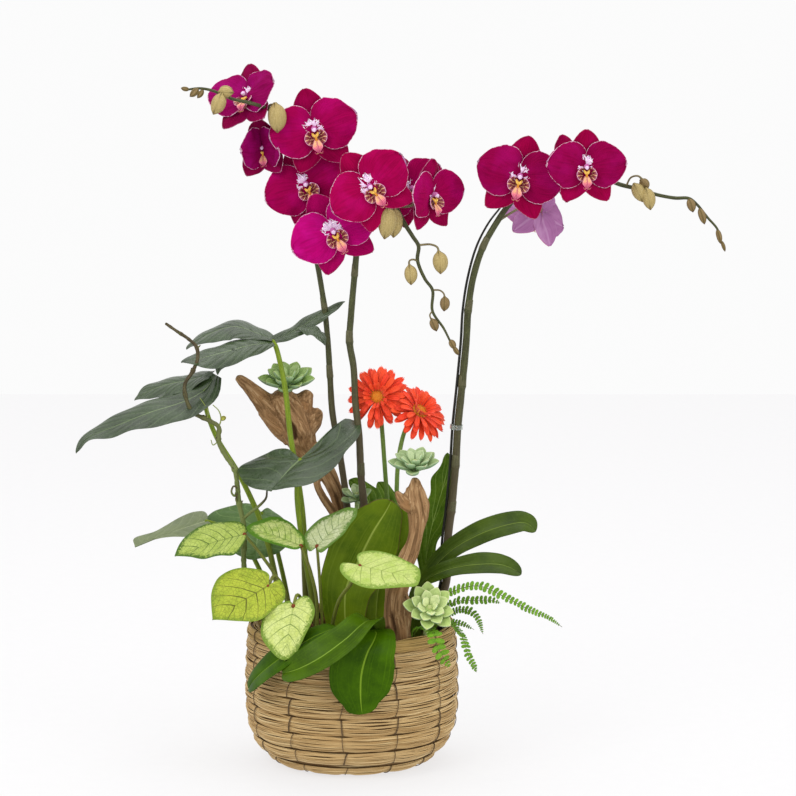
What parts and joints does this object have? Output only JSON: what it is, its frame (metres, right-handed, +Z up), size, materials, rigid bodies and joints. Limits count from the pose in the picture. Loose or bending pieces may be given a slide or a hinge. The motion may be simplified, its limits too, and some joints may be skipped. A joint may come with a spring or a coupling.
{
  "type": "moth orchid in basket",
  "caption": "Planted arrangement of moth orchids with foliage, gerberas, succulents, fern and driftwood standing in a round coiled reed basket.",
  "frame": {"origin": "centre of the basket's flat underside, on the surface it stands on", "axes": "+Z up, -Y towards the side the arrangement is made to be seen from, +X to the right as seen from there"},
  "size_m": [0.6774, 0.2648, 0.7344],
  "materials": {
    "reed": "satin",
    "liner_plastic": "satin",
    "growing_mix": "matte",
    "moss": "matte",
    "spike_stem": "satin",
    "stake_wire": "satin",
    "gerbera_stem": "satin",
    "gerbera_petal": "satin",
    "driftwood": "matte",
    "vine": "satin",
    "orchid_petal": "satin",
    "philodendron_leaf": "gloss",
    "caladium_leaf": "satin",
    "orchid_leaf": "gloss",
    "gerbera_leaf": "satin",
    "succulent_leaf": "satin",
    "fern_leaf": "satin",
    "clip_plastic": "gloss"
  },
  "bodies": {
    "root": {"basket": "reed", "liner": "liner_plastic", "growing_mix": "growing_mix", "moss_cushion": "moss", "flower_spike_left": "spike_stem", "flower_spike_centre": "spike_stem", "flower_spike_right": "spike_stem", "flower_stake": "stake_wire", "gerbera_1_stem": "gerbera_stem", "gerbera_1_head": "gerbera_petal", "gerbera_2_stem": "gerbera_stem", "gerbera_2_head": "gerbera_petal", "driftwood_left": "driftwood", "driftwood_right": "driftwood", "vine": "vine", "bloom_left_1": "orchid_petal", "bloom_left_2": "orchid_petal", "bloom_left_3": "orchid_petal", "bloom_left_4": "orchid_petal", "bloom_left_5": "orchid_petal", "bloom_centre_1": "orchid_petal", "bloom_centre_2": "orchid_petal", "bloom_centre_3": "orchid_petal", "bloom_right_1": "orchid_petal", "bloom_right_2": "orchid_petal", "bloom_right_3": "orchid_petal", "bloom_right_4": "orchid_petal", "philodendron_leaf_top": "philodendron_leaf", "philodendron_leaf_left": "philodendron_leaf", "philodendron_leaf_centre": "philodendron_leaf", "philodendron_leaf_low_left": "philodendron_leaf", "philodendron_leaf_low_back": "philodendron_leaf", "caladium_leaf_left": "caladium_leaf", "caladium_leaf_mid": "caladium_leaf", "caladium_leaf_upper": "caladium_leaf", "caladium_leaf_low_left": "caladium_leaf", "caladium_leaf_low_mid": "caladium_leaf", "caladium_leaf_right": "caladium_leaf", "orchid_leaf_front": "orchid_leaf", "orchid_leaf_left_upper": "orchid_leaf", "orchid_leaf_left_lower": "orchid_leaf", "orchid_leaf_back": "orchid_leaf", "orchid_leaf_back_right": "orchid_leaf", "orchid_leaf_right_upper": "orchid_leaf", "orchid_leaf_right_lower": "orchid_leaf", "gerbera_leaf_right": "gerbera_leaf", "gerbera_leaf_left": "gerbera_leaf", "gerbera_leaf_back": "gerbera_leaf", "succulent_top": "succulent_leaf", "succulent_right": "succulent_leaf", "succulent_front": "succulent_leaf", "succulent_small": "succulent_leaf", "fern_frond_1": "fern_leaf", "fern_frond_2": "fern_leaf", "fern_frond_3": "fern_leaf", "fern_frond_4": "fern_leaf", "fern_frond_5": "fern_leaf", "fern_frond_6": "fern_leaf", "stem_clip": "clip_plastic"}
  },
  "joints": []
}
